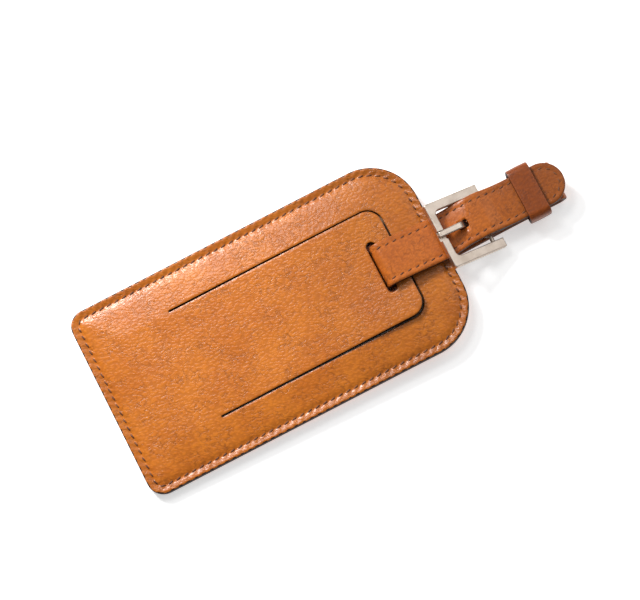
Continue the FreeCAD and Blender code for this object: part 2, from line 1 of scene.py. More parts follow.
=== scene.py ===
"""A tan leather luggage tag with its strap, buckle and keeper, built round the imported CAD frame.

Lengths are in millimetres until the last step, which puts them in metres. Those of the floor, the
lights and the camera are in metres. The tag's own frame has its origin at the far edge of its back
face, x towards the strap and z out of the front."""
import json
import math

import bpy
from mathutils import Matrix, Vector, geometry, noise


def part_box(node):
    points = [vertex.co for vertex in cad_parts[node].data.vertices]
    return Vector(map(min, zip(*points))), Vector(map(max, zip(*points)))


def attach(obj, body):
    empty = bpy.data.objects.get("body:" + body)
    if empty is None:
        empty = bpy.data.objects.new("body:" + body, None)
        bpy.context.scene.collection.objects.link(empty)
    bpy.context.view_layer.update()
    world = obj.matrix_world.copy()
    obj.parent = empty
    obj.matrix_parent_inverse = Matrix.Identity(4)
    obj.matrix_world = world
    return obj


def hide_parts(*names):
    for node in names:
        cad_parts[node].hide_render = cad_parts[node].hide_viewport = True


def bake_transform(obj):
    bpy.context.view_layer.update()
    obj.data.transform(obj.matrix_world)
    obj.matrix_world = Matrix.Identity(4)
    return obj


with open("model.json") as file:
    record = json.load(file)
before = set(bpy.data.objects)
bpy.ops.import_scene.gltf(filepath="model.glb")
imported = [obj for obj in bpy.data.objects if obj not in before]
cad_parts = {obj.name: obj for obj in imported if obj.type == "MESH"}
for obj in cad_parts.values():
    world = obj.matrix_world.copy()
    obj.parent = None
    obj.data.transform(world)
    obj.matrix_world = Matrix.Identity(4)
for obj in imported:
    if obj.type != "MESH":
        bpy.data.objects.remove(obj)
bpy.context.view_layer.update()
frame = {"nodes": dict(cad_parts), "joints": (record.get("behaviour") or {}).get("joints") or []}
nodes = frame["nodes"]
joints = {joint["name"]: joint for joint in frame["joints"]}

MM = 0.001


def box_mm(node):
    low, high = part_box(node)
    return low / MM, high / MM


def pivot_mm(name):
    return Vector(joints[name]["pos_m"]) / MM


# ---------- sizes, in mm

FAR_EDGE = -79.0  # row x of the tag's far edge
slide = joints["card_slide"]["axis"]
TILT = math.atan2(slide[2], slide[0])  # the tag's strap end rests on the strap

TAG_LENGTH, TAG_HALF = 115.0, 31.75
FAR_CORNER, STRAP_CORNER = 5.2, 16.0
BACK_TOP, FRONT_BOTTOM, FRONT_TOP = 1.0, 2.5, 3.5  # leather layers, in the tag's own frame
STITCH_INSET, STITCH_PITCH = 2.4, 2.67

HINGE_X, FLAP_END, FLAP_HALF, FLAP_CORNER = 29.8, 101.6, 18.2, 4.8
CUT_WIDTH, HINGE_GAP = 0.64, 0.04
FLAP_RAISE = math.radians(0.9)
SLOT_X0, SLOT_X1, SLOT_HALF = 93.4, 96.5, 8.75

STRAP_HALF, STRAP_THICK, OUTER_THICK = 7.0, 1.9, 1.0
STRAP_INSET, STRAP_TIP = 1.8, 158.0
PIN = pivot_mm("buckle_pivot") - Vector((FAR_EDGE, 0, 0))
SWING_X = pivot_mm("strap_swing").x - FAR_EDGE


def row(x, y, z):
    """A point given from the tag's far edge, in row axes and mm, as metres."""
    return Vector(((x + FAR_EDGE) * MM, y * MM, z * MM))


def from_tag(x, y, z):
    """A point of the tag's own tilted frame, in metres in the row frame."""
    return row(x * math.cos(TILT) - z * math.sin(TILT), y, x * math.sin(TILT) + z * math.cos(TILT))


# ---------- small geometry helpers

def smooth(low, high, value):
    t = min(max((value - low) / (high - low), 0.0), 1.0)
    return t * t * (3 - 2 * t)


def between(table, at):
    """Straight-line interpolation in a short (position, value) table."""
    if at <= table[0][0]:
        return table[0][1]
    for (a, fa), (b, fb) in zip(table, table[1:]):
        if at <= b:
            return fa + (fb - fa) * (at - a) / (b - a)
    return table[-1][1]


def direction(degrees):
    angle = math.radians(degrees)
    return Vector((math.cos(angle), math.sin(angle)))


def turned(vector, angle):
    cos, sin = math.cos(angle), math.sin(angle)
    return Vector((vector.x * cos - vector.y * sin, vector.x * sin + vector.y * cos))


def rounded_outline(x0, x1, half, far_radius, near_radius, step):
    """Points round a rectangle about the x axis, anticlockwise, with their outward directions."""
    corners = [(x1 - near_radius, near_radius - half, near_radius, -90),
               (x1 - near_radius, half - near_radius, near_radius, 0),
               (x0 + far_radius, half - far_radius, far_radius, 90),
               (x0 + far_radius, far_radius - half, far_radius, 180)]
    points = []
    for index, (cx, cy, radius, start) in enumerate(corners):
        count = max(2, math.ceil(math.pi / 2 * radius / step)) if radius > 0.01 else 1
        for k in range(count + 1):
            out = direction(start + 90 * k / count)
            points.append((Vector((cx, cy)) + out * radius, out))
        nx, ny, next_radius, next_start = corners[(index + 1) % 4]
        out = direction(next_start)
        target = Vector((nx, ny)) + out * next_radius
        here = points[-1][0]
        count = max(1, round((target - here).length / step))
        points += [(here.lerp(target, k / count), out) for k in range(1, count)]
    return points


def loop_of(*sizes):
    """The points alone of a rounded_outline, as (x, y) pairs."""
    return [tuple(point) for point, _ in rounded_outline(*sizes)]


def box_distance(x, y, x0, x1, half, far_radius, near_radius):
    """How far a point is inside (+) or outside (-) a rounded rectangle about the x axis."""
    middle = (x0 + x1) / 2
    radius = near_radius if x > middle else far_radius
    qx = abs(x - middle) - ((x1 - x0) / 2 - radius)
    qy = abs(y) - (half - radius)
    outside = math.hypot(max(qx, 0), max(qy, 0))
    return radius - (outside + min(max(qx, qy), 0.0))


def edge_distance(x, y):
    return box_distance(x, y, 0, TAG_LENGTH, TAG_HALF, FAR_CORNER, STRAP_CORNER)


def cut_distance(x, y):
    """Distance to the middle of the U-shaped cut that frees the flap."""
    if x < HINGE_X:
        return math.hypot(x - HINGE_X, abs(y) - FLAP_HALF)
    return abs(box_distance(x, y, HINGE_X - 90, FLAP_END, FLAP_HALF, 1, FLAP_CORNER) + CUT_WIDTH / 2)


def slot_distance(x, y):
    middle, radius = (SLOT_X0 + SLOT_X1) / 2, (SLOT_X1 - SLOT_X0) / 2
    return math.hypot(x - middle, max(abs(y) - (SLOT_HALF - radius), 0)) - radius


def new_object(name, vertices, faces, uvs=None, sharp=(), painted=(), wear_and_shade=None):
    """A smooth-shaded mesh. uvs is one (u, v) per vertex, sharp a set of vertex pairs, painted the
    numbers of the faces that take the second material, and wear_and_shade how much darker each vertex
    is, as worn leather and as painted shade."""
    mesh = bpy.data.meshes.new(name)
    mesh.from_pydata([tuple(v) for v in vertices], [], faces)
    for face in painted:
        mesh.polygons[face].material_index = 1
    mesh.validate()
    mesh.shade_smooth()
    if uvs:
        layer = mesh.uv_layers.new(name="UVMap")
        for loop in mesh.loops:
            layer.data[loop.index].uv = uvs[loop.vertex_index]
    if sharp:
        marks = mesh.attributes.new("sharp_edge", "BOOLEAN", "EDGE")
        for edge in mesh.edges:
            marks.data[edge.index].value = tuple(sorted(edge.vertices)) in sharp
    if wear_and_shade:
        mesh.attributes.new("wear_and_shade", "FLOAT", "POINT").data.foreach_set("value", wear_and_shade)
    piece = bpy.data.objects.new(name, mesh)
    bpy.context.scene.collection.objects.link(piece)
    return piece


def ring_faces(rings, sides, closed):
    """Quads between rings of vertices, each of so many sides."""
    faces = []
    last = rings if closed else rings - 1
    for i in range(last):
        a, b = i * sides, (i + 1) % rings * sides
        faces += [(a + k, a + (k + 1) % sides, b + (k + 1) % sides, b + k) for k in range(sides)]
    return faces


def end_caps(rings, sides):
    """The faces that close the first and the last of those rings."""
    last = (rings - 1) * sides
    return [tuple(reversed(range(sides))), tuple(last + k for k in range(sides))]


# ---------- sheets of leather

# height of the rolled rim, the sewn valley and the padding, at distances in from the edge
RIM = [(0.0, -0.12), (0.12, -0.01), (0.35, 0.06), (0.75, 0.04), (1.25, -0.03), (1.75, -0.13),
       (2.1, -0.21), (2.4, -0.25), (2.7, -0.19), (3.15, -0.04), (4.0, 0.12), (6.0, 0.22),
       (10.0, 0.34), (13.5, 0.38), (40.0, 0.42)]
PUCKER = 0.10  # how deep each stitch pulls the rim in
PUCKER_OUT, PUCKER_IN = 1.9, 0.9  # how far that reaches each side of the seam
CROWN, CROWN_FROM, CROWN_TO = 0.62, 3.0, 13.5  # the padding lifts the middle, flap and all
LOWER, LOWER_FROM, LOWER_TO = 0.6, 84, 104  # and lifts it less at the strap's end
UNEVEN = 0.09  # slow rise and fall of a hand-made face


def seam_position(x, y):
    """Distance along the stitch line of the point on it nearest to (x, y)."""
    return min(STITCH_LINE, key=lambda p: (p[0].x - x) ** 2 + (p[0].y - y) ** 2)[1]


def with_lengths(outline):
    """An outline's points as (point, length up to there, outward direction), and its length."""
    total, result = 0.0, []
    for index, (point, out) in enumerate(outline):
        result.append((point, total, out))
        total += (outline[(index + 1) % len(outline)][0] - point).length
    return result, total


STITCH_LINE, STITCH_TOTAL = with_lengths(rounded_outline(
    STITCH_INSET, TAG_LENGTH - STITCH_INSET, TAG_HALF - STITCH_INSET,
    FAR_CORNER - STITCH_INSET, STRAP_CORNER - STITCH_INSET, 0.3))
STITCH_COUNT = round(STITCH_TOTAL / STITCH_PITCH)
FITTED_PITCH = STITCH_TOTAL / STITCH_COUNT
RIM_SLANT = -0.30  # stitches that the rim's puckers lean, per mm


def stitch_phase(x, y, edge):
    """Counts stitches round the seam, whole at each needle hole, and slants across the rim."""
    return seam_position(x, y) / FITTED_PITCH + RIM_SLANT * (edge - STITCH_INSET)


def puff(x, y):
    """Height of the padded leather over a flat sheet: a rolled rim that each stitch puckers, a sewn
    valley, and a slope up to a flat middle, which is lower at the strap's end."""
    edge = edge_distance(x, y)
    height = between(RIM, edge)
    if edge < 5:
        reach = PUCKER_OUT if edge < STITCH_INSET else PUCKER_IN
        near_seam = math.exp(-((edge - STITCH_INSET) / reach) ** 2)
        height -= PUCKER * near_seam * (1 + math.cos(2 * math.pi * stitch_phase(x, y, edge)))
    ramp = min(max((edge - CROWN_FROM) / (CROWN_TO - CROWN_FROM), 0.0), 1.0)
    height += CROWN * ramp * (1 - LOWER * smooth(LOWER_FROM, LOWER_TO, x))
    slow = noise.noise(Vector((x * 0.07, y * 0.09, 4.0)))
    quick = noise.noise(Vector((x, y, 9.0)) * 0.2)
    return height + UNEVEN * (slow + 0.4 * quick) * smooth(2.5, 9, edge)


def turned_edge(distance, drop, reach):
    """How much a face turns down beside a cut edge that is so far away."""
    near = min(max(distance, 0.0), reach)
    return drop * (1 - near / reach) ** 2


def cut_rounding(x, y):
    """How much the leather's face turns down beside the cut and the slot."""
    return sum(turned_edge(distance, 0.14, 0.45)
               for distance in (cut_distance(x, y) - CUT_WIDTH / 2, slot_distance(x, y)))


def front_height(x, y):
    return FRONT_TOP + puff(x, y) - cut_rounding(x, y)


def inside(point, loop):
    """True if the 2-D point is inside the closed loop."""
    result = False
    for (ax, ay), (bx, by) in zip(loop, loop[1:] + loop[:1]):
        if (ay > point[1]) != (by > point[1]) and \
                point[0] < (bx - ax) * (point[1] - ay) / (by - ay) + ax:
            result = not result
    return result


def rim_wear_and_cut_shade(x, y):
    """How much darker the leather is: along the sewn rim, as worn leather and as painted shade in the
    sewn valley, and beside the cut and the slot, as painted shadow.
    """
    cut = min(cut_distance(x, y) - CUT_WIDTH / 2, slot_distance(x, y))
    return max(0.35 * smooth(2.9, 1.7, edge_distance(x, y)), 0.7 * smooth(0.45, 0.0, cut))


def at_painted_rim(corners):
    """True for a face at the tag's edge that the edge paint covers. It creeps in at each hole."""
    middle = sum(corners, Vector((0, 0))) / len(corners)
    edge = edge_distance(*middle)
    if edge > 0.3:
        return False
    return edge < 0.1 or math.cos(2 * math.pi * stitch_phase(*middle, edge)) > 0.2


def sheet_of_leather(name, outer, holes, extra, spacing, top, bottom, place, keep):
    """A closed sheet between two height functions, inside the loop outer and outside the holes. Its
    cut sides are painted. The mesh has points on a grid where keep(x, y) is true, and the extra
    points, such as rings beside an edge."""
    loops = [outer] + holes
    points, edges = [], []
    for loop in loops:
        start = len(points)
        points += [Vector(p) for p in loop]
        edges += [(start + k, start + (k + 1) % len(loop)) for k in range(len(loop))]
    points += [Vector(p) for p in extra]
    xs, ys = [p[0] for p in outer], [p[1] for p in outer]
    rows = int((max(ys) - min(ys)) / spacing)
    columns = int((max(xs) - min(xs)) / spacing)
    for j in range(1, rows):
        for i in range(1, columns):
            x = min(xs) + (i + 0.5 * (j % 2)) * spacing
            y = min(ys) + j * spacing
            if keep(x, y):
                points.append(Vector((x, y)))
    flat, _, triangles, *_ = geometry.delaunay_2d_cdt(points, edges, [], 0, 1e-5)
    kept = []
    for triangle in triangles:
        middle = sum((flat[k] for k in triangle), Vector((0, 0))) / 3
        if inside(middle, outer) and not any(inside(middle, hole) for hole in holes):
            kept.append(tuple(triangle))
    used = sorted({k for triangle in kept for k in triangle})
    renumber = {old: new for new, old in enumerate(used)}
    flat = [flat[k] for k in used]
    kept = [tuple(renumber[k] for k in triangle) for triangle in kept]
    count = len(flat)
    vertices = [place(p.x, p.y, top(p.x, p.y)) for p in flat]
    vertices += [place(p.x, p.y, bottom(p.x, p.y)) for p in flat]
    faces = kept + [(c + count, b + count, a + count) for a, b, c in kept]
    sides = dict.fromkeys(pair for a, b, c in kept for pair in ((a, b), (b, c), (c, a)))
    sharp = set()
    for a, b in sides:
        if (b, a) not in sides:
            faces.append((b, a, a + count, b + count))
            sharp.add(tuple(sorted((a + count, b + count))))
            if edge_distance(*flat[a]) > 0.2:
                sharp.add(tuple(sorted((a, b))))
    uvs = [(p.x / 10, p.y / 10) for p in flat] * 2
    painted = [k for k, face in enumerate(faces)
               if len(face) == 4 or at_painted_rim([flat[v % count] for v in face])]
    # darkening per vertex: worn rim, with painted shade in the sewn valley and painted shadow beside
    # the cut and slot
    wear_and_shade = [rim_wear_and_cut_shade(p.x, p.y) for p in flat] * 2
    return new_object(name, vertices, faces, uvs, sharp, painted, wear_and_shade)


def inner_rings(distances, step):
    """Points on rings inside the tag's outline."""
    points = []
    for inset in distances:
        points += loop_of(inset, TAG_LENGTH - inset, TAG_HALF - inset,
                          max(FAR_CORNER - inset, 0.4), STRAP_CORNER - inset, step)
    return points


def cut_rings(offsets):
    """Points beside the U-shaped cut. A positive offset is on the flap's side."""
    points = []
    for offset in offsets:
        ring = loop_of(HINGE_X - 20, FLAP_END - offset, FLAP_HALF - offset, 1,
                       FLAP_CORNER - offset, 0.7)
        points += [(x, y) for x, y in ring if x > HINGE_X + 0.01]
    return points


def slot_loop(grow=0.0):
    radius = (SLOT_X1 - SLOT_X0) / 2 + grow - 0.001
    return loop_of(SLOT_X0 - grow, SLOT_X1 + grow, SLOT_HALF + grow, radius, radius, 0.45)


RIM_INSETS = [inset for inset, _ in RIM if 0 < inset <= 4]
EDGE_RINGS = (0.15, 0.4, 0.7)  # rings of points beside the cut and the slot
SLOT_POINTS = [point for grow in EDGE_RINGS for point in slot_loop(grow)]
OUTLINE = loop_of(0, TAG_LENGTH, TAG_HALF, FAR_CORNER, STRAP_CORNER, 0.6)


def make_front_panel():
    def bottom_height(x, y):
        """Clear of the flap's lining at the hinge line, where the lining turns."""
        return FRONT_BOTTOM + HINGE_GAP * smooth(1.2, 0.2, abs(x - HINGE_X))

    grow = CUT_WIDTH
    opening = loop_of(HINGE_X, FLAP_END + grow, FLAP_HALF + grow, 0.0, FLAP_CORNER + grow, 0.6)
    rings = inner_rings(RIM_INSETS, 0.55) + cut_rings([-grow - away for away in EDGE_RINGS])
    panel = sheet_of_leather(
        "front_panel_leather", OUTLINE, [opening], rings, 1.0, front_height, bottom_height, from_tag,
        keep=lambda x, y: edge_distance(x, y) > 4.6 and cut_distance(x, y) > 1.3)
    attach(panel, "tag")
    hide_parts("front_panel")
    return panel


FLAP_BEND = 10.0  # length over which the hinge leather bends
FLAP_CURL = 0.95  # how far its near corner curls up


def flap_lift(x, y):
    """How far the flap stands off the tag: a soft bend at the hinge, then straight, and curled up
    towards its near corner."""
    along = x - HINGE_X
    slope = math.tan(FLAP_RAISE)
    rise = slope * (along ** 2 / (2 * FLAP_BEND) if along < FLAP_BEND else along - FLAP_BEND / 2)
    curl = smooth(40, 72, along) * smooth(0, 18, -y)
    return rise + FLAP_CURL * curl


def make_flap():
    loop = loop_of(HINGE_X, FLAP_END, FLAP_HALF, 0.0, FLAP_CORNER, 0.6)
    flap = sheet_of_leather(
        "flap_leather_face", loop, [slot_loop()], cut_rings(EDGE_RINGS) + SLOT_POINTS,
        1.0, lambda x, y: front_height(x, y) + flap_lift(x, y),
        lambda x, y: FRONT_BOTTOM + flap_lift(x, y), from_tag,
        keep=lambda x, y: cut_distance(x, y) > 1.3 and slot_distance(x, y) > 1.1)
    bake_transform(flap)
    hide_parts("flap_leather")
    return flap


def make_back_panel():
    def back_height(x, y):
        """Flat where the tag lies on it, drawn in along the seam, turned up round the slot."""
        hollow = min(max(-0.6 * puff(x, y) - 0.02, 0.0), 0.35)
        seam = smooth(-1, 2.6, 2.6 - edge_distance(x, y))
        return hollow * seam + turned_edge(slot_distance(x, y), 0.15, 0.6)

    panel = sheet_of_leather(
        "back_panel_leather", OUTLINE, [slot_loop()], inner_rings(RIM_INSETS, 0.8) + SLOT_POINTS,
        1.6, lambda x, y: BACK_TOP, back_height, from_tag,
        keep=lambda x, y: edge_distance(x, y) > 4.8 and slot_distance(x, y) > 1.5)
    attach(panel, "tag")
    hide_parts("back_panel")
    return panel


def make_painted_edge():
    """The painted edge that closes the layers' sides all round the tag."""
    section = [(-0.9, 0.75), (-0.25, 0.62), (0.02, 0.55), (0.09, 0.95), (0.13, 1.75), (0.09, 2.5),
               (0.02, 2.93), (-0.25, 2.86), (-0.9, 2.75)]
    outline = rounded_outline(0, TAG_LENGTH, TAG_HALF, FAR_CORNER, STRAP_CORNER, 0.8)
    vertices, uvs = [], []
    for index, (point, out) in enumerate(outline):
        ripple = 0.02 * noise.noise(Vector((point.x, point.y, 0)) * 0.5)
        for outward, z in section:
            spot = point + out * (outward + ripple)
            vertices.append(from_tag(spot.x, spot.y, z))
            uvs.append((index * 0.08, z / 10))
    edge = new_object("painted_edge", vertices, ring_faces(len(outline), len(section), True), uvs)
    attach(edge, "tag")
    return edge


# ---------- stitches

TAG_STITCH = (2.0, 0.26, 18)  # length, thread radius, slant in degrees
STRAP_STITCH = (1.8, 0.22, 14)
BACK_SEAM = 0.27  # height of the back stitches
FLATTENED = 0.75  # how round the pressed thread still is


def stitch_mesh(name, places, stitch):
    """One short, slanted loop of thread at each (point, along, up) place."""
    length, radius, slant = stitch[0] * MM, stitch[1] * MM, math.radians(stitch[2])
    rings, sides = 7, 8
    vertices, faces, uvs = [], [], []
    for number, (point, along, up) in enumerate(places):
        across = up.cross(along).normalized()
        way = (along * math.cos(slant) + across * math.sin(slant)).normalized()
        side = up.cross(way).normalized()
        start = len(vertices)
        for ring in range(rings):
            t = -1 + 2 * ring / (rings - 1)
            thick = radius * max(1 - abs(t) ** 4, 0.02) ** 0.5
            sink = -radius * 0.9 * t * t
            centre = point + way * (t * length / 2) + up * (sink + radius * 0.25)
            for k in range(sides):
                angle = 2 * math.pi * k / sides
                vertices.append(centre + side * thick * math.cos(angle)
                                + up * thick * FLATTENED * math.sin(angle))
                uvs.append((number * 0.37 + t * 0.1, k / sides * 0.1))
        loop = ring_faces(rings, sides, False) + end_caps(rings, sides)
        faces += [tuple(start + i for i in face) for face in loop]
    piece = new_object(name, vertices, faces, uvs)
    return piece


def along_line(line, total, count):
    """count evenly spaced (point, direction) places on a closed line with lengths."""
    result, index = [], 0
    for number in range(count):
        target = total * (number + 0.5) / count
        while index + 1 < len(line) and line[index + 1][1] <= target:
            index += 1
        here, after = line[index][0], line[(index + 1) % len(line)][0]
        gap = (after - here).length
        part = (target - line[index][1]) / gap if gap > 1e-9 else 0
        out = line[index][2]
        result.append((here.lerp(after, part), Vector((-out.y, out.x))))
    return result


def make_tag_stitches():
    """Needle thread on the front, bobbin thread on the back."""
    spots = along_line(STITCH_LINE, STITCH_TOTAL, STITCH_COUNT)
    length, radius, slant = TAG_STITCH
    front_seam = FRONT_TOP + between(RIM, STITCH_INSET)
    for name, node, side, height in (("front_stitches", "front_stitching", 1, front_seam),
                                     ("back_stitches", "back_stitching", -1, BACK_SEAM)):
        up = (from_tag(0, 0, side) - from_tag(0, 0, 0)).normalized()
        places = []
        for point, way in spots:
            centre = from_tag(point.x, point.y, height)
            along = (from_tag(point.x + way.x, point.y + way.y, height) - centre).normalized()
            places.append((centre, along, up))
        piece = stitch_mesh(name, places, (length, radius, slant * side))
        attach(piece, "tag")
        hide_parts(node)


# ---------- strap

HALF_THICK = STRAP_THICK / 2
TOE_PASS, PIN_PASS, TIP_PASS, CHAPE_RUN = 7.2, 7.58, 6.92, 4.75  # heights of the strap's middle
RISER_X, RISER_FOOT, CREST_X, CREST_Z, CREST_SLOPE = 95.05, 94.5, 97.5, 9.5, 0.12
FOLD_END, TAIL_END = 156.4, 139.0
CREASE_X = 124.1  # where the strap turns down, at the prong's hole
TIP_HALF, FOLD_HALF = 6.85, 6.4  # half the strap's width at its two ends
PRESSED = 0.13  # how far the floor flattens the lower run
SUNK = 0.95  # how far the strap dives under the toe bar
HOLE_DIMPLE = 0.22  # how far the prong presses its hole down
FAR_DRIFT, NEAR_DRIFT = 0.75, 0.30  # sideways, inside the buckle and before it
PIN_RADIUS, TURNING_GAP = 0.7, 0.05


def strap_route(with_chape):
    """Corners (x, z, bend radius) of the strap's middle line, from its tip to its turned end."""
    crest = TOE_PASS + CREST_SLOPE * (SWING_X + 1.4 - CREST_X)
    fold, fold_x = (CHAPE_RUN - HALF_THICK) / 2, FOLD_END - HALF_THICK
    route = [(STRAP_TIP, TIP_PASS, 0), (PIN.x + 5.3, TIP_PASS, 5.0), (PIN.x + 1.7, PIN_PASS, 5.0),
             (CREASE_X, PIN_PASS, 4.0), (118.5, TOE_PASS, 8.0), (SWING_X + 1.4, TOE_PASS, 5.0),
             (CREST_X, crest, 3.0), (RISER_X, CREST_Z, 1.7), (RISER_FOOT, HALF_THICK, 1.6),
             (fold_x, HALF_THICK, fold), (fold_x, CHAPE_RUN, fold)]
    if not with_chape:
        return route + [(TAIL_END + 0.4, CHAPE_RUN, 0)]
    wrap = PIN_RADIUS + TURNING_GAP + OUTER_THICK - HALF_THICK
    tail = PIN.z - (OUTER_THICK - HALF_THICK) - 0.05
    return route + [(PIN.x + 4.1, CHAPE_RUN, 2.0), (PIN.x + 1.3, PIN.z + wrap, 2.0),
                    (PIN.x - wrap, PIN.z + wrap, wrap), (PIN.x - wrap, PIN.z - wrap, wrap),
                    (PIN.x + 1.3, PIN.z - wrap, 2.0), (PIN.x + 4.1, tail, 2.0), (TAIL_END, tail, 0)]


def follow(route, step):
    """Evenly spaced (length, point, direction) stations on a route of rounded corners."""
    stations, travelled = [], 0.0
    here = Vector(route[0][:2])

    def add(point, way):
        nonlocal travelled
        if stations:
            travelled += (point - stations[-1][1]).length
        stations.append((travelled, point, way))

    def straight(end):
        nonlocal here
        length = (end - here).length
        if length > 1e-6:
            way = (end - here) / length
            count = max(1, round(length / step))
            for k in range(1 if stations else 0, count + 1):
                add(here.lerp(end, k / count), way)
        here = end

    for before, corner, after in zip(route, route[1:], route[2:]):
        middle = Vector(corner[:2])
        into = (middle - Vector(before[:2])).normalized()
        out = (Vector(after[:2]) - middle).normalized()
        turn = -into.angle_signed(out)
        reach = corner[2] * math.tan(abs(turn) / 2)
        straight(middle - into * reach)
        side = math.copysign(1, turn)
        centre = here + Vector((-into.y, into.x)) * side * corner[2]
        count = max(2, math.ceil(abs(turn) * max(corner[2] + 1, 1.6) / step))
        for k in range(1, count + 1):
            angle = turn * k / count
            add(centre + turned(here - centre, angle), turned(into, angle))
        here = stations[-1][1].copy()
    straight(Vector(route[-1][:2]))
    return stations


PROFILE = [(0.0, -0.28), (0.12, -0.13), (0.35, -0.03), (0.75, 0.02), (1.3, 0.01), (1.6, -0.03),
           (1.8, -0.06), (2.0, -0.04), (2.4, 0.01), (3.4, 0.05), (7.0, 0.08)]


def side_half(length):
    """Half the strap's width: it narrows a little towards its tip and towards its buckle end."""
    return STRAP_HALF - (STRAP_HALF - TIP_HALF) * smooth(42, TIP_HALF, length) \
        - (STRAP_HALF - FOLD_HALF) * smooth(75, 120, length)


def edge_of_strip(length, across):
    """Distance from a point of the strip to its outline, whose tip is rounded."""
    side = side_half(length) - abs(across)
    if length > TIP_HALF:
        return side
    return min(side, TIP_HALF - math.hypot(TIP_HALF - length, across))


def half_width(length):
    if length < TIP_HALF:
        return math.sqrt(max(TIP_HALF ** 2 - (TIP_HALF - length) ** 2, 0.0))
    return side_half(length)


HALF_COLUMNS = [0.25, 0.5, 0.64, 0.707, 0.743, 0.78, 0.83, 0.89, 0.95, 0.985, 1]
COLUMNS = [-part for part in reversed(HALF_COLUMNS)] + [0] + HALF_COLUMNS


def strap_dip(point, way, across):
    """How far the strap's face is pushed in. It is pressed flat on the floor, and a little in the
    keeper at its turned end. From the crease at the prong's hole it dives under the toe bar."""
    if way.x > 0 and point.y > CHAPE_RUN - 0.5:
        return 0.5 * PRESSED
    if way.x > 0 or point.y < TIP_PASS - 0.3:
        return PRESSED * smooth(2.5, 1.2, point.y)
    past = CREASE_X + (0.4 if across > 0 else 0.1) * across - point.x
    dimple = HOLE_DIMPLE * math.exp(-(across / 1.5) ** 2)
    if past < 0:
        return dimple * math.exp(-(past / 0.7) ** 2)
    return max(SUNK * (1 - math.exp(-past / 1.8)), dimple) * smooth(9.5, 6.5, past)


def sideways(point):
    """How far the upper run lies off the middle: to the far side in the buckle, near before it."""
    if point.y < TIP_PASS - 0.6:
        return 0.0
    return FAR_DRIFT * smooth(114, 123, point.x) * smooth(140, 128, point.x) \
        - NEAR_DRIFT * smooth(100, 112, point.x) * smooth(140, 124, point.x)


def strip_mesh(name, route, outer_face, inner_face, shaped):
    """A closed strip along the route, with painted sides. outer_face and inner_face are offsets from
    its middle line, measured away from the loop's inside. A shaped strip has a rounded outer face."""
    stations = follow(route, 0.6)
    straight = [station for station in stations if station[0] > TIP_HALF]
    tip = [max(TIP_HALF * (1 - math.cos(math.pi / 2 * k / 14)), 0.004) for k in range(15)]
    _, start, way = stations[0]
    rows = [(s, start + way * s, way) for s in tip] + straight
    vertices, uvs, edge_darkening = [], [], []
    columns = len(COLUMNS)
    total = columns * 2
    for length, point, way in rows:
        out = Vector((way.y, -way.x))
        half = half_width(length)
        for column, outer in [(c, True) for c in COLUMNS] + [(c, False) for c in reversed(COLUMNS)]:
            across = column * half
            edge = edge_of_strip(length, across)
            offset = outer_face if outer else inner_face
            if outer and shaped:
                offset += between(PROFILE, edge)
            elif not outer and not shaped:
                offset += 0.30 * (1 - min(edge / 0.35, 1)) ** 2
            spot = point + out * (offset - strap_dip(point, way, across))
            vertices.append(row(spot.x, across + sideways(point), spot.y))
            uvs.append((length / 10, across / 10))
            # The strap's face is darker within 1 mm of its edges.
            edge_darkening.append(0.5 * smooth(1.0, 0.2, edge))
    faces = ring_faces(len(rows), total, False)
    painted = [r * total + k for r in range(len(rows) - 1) for k in (columns - 1, total - 1)]
    painted += [len(faces), len(faces) + 1]
    faces += end_caps(len(rows), total)
    last = (len(rows) - 1) * total
    sharp = {tuple(sorted((last + k, last + (k + 1) % total))) for k in range(total)}
    for r in range(len(rows) - 1):
        for k in ((columns, total - 1) if shaped else (0, columns - 1)):
            sharp.add((r * total + k, (r + 1) * total + k))
    return new_object(name, vertices, faces, uvs, sharp, painted, edge_darkening)


def cut_away(piece, outline, low, high):
    """Cut a hole with the given (x, y) outline through the piece, between two heights."""
    sides = len(outline)
    vertices = [row(x, y, z) for z in (low, high) for x, y in outline]
    faces = end_caps(2, sides) + ring_faces(2, sides, False)
    cutter = new_object("cutter", vertices, faces, [(0, 0)] * len(vertices),
                        painted=range(len(faces)))
    modifier = piece.modifiers.new("cut", "BOOLEAN")
    modifier.operation = "DIFFERENCE"
    modifier.solver = "EXACT"
    modifier.object = cutter
    bpy.context.view_layer.update()
    depsgraph = bpy.context.evaluated_depsgraph_get()
    cut = bpy.data.meshes.new_from_object(piece.evaluated_get(depsgraph))
    piece.modifiers.clear()
    old, piece.data = piece.data, cut
    bpy.data.meshes.remove(old)
    bpy.data.objects.remove(cutter)


PRONG_HOLE = loop_of(121.7, 124.95, 1.3, 0.6, 0.7, 0.25)
CHAPE_HOLE = loop_of(126.5, 131.9, 1.45, 0.4, 0.4, 0.3)


def bend_with_strap(piece):
    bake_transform(piece)


def make_strap():
    between_layers = HALF_THICK - OUTER_THICK
    leather = strip_mesh("strap_leather", strap_route(True), HALF_THICK, between_layers, True)
    cut_away(leather, PRONG_HOLE, 4.0, 10.0)
    cut_away(leather, CHAPE_HOLE, 2.2, 7.0)
    bend_with_strap(leather)
    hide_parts("strap_root_leather", "strap_loop_leather", "strap_upper_leather")
    lining = strip_mesh("strap_lining", strap_route(False), between_layers, -HALF_THICK, False)
    cut_away(lining, PRONG_HOLE, 4.0, 10.0)
    bend_with_strap(lining)
    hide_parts("strap_root_lining", "strap_loop_lining", "strap_upper_lining")
    return leather, lining


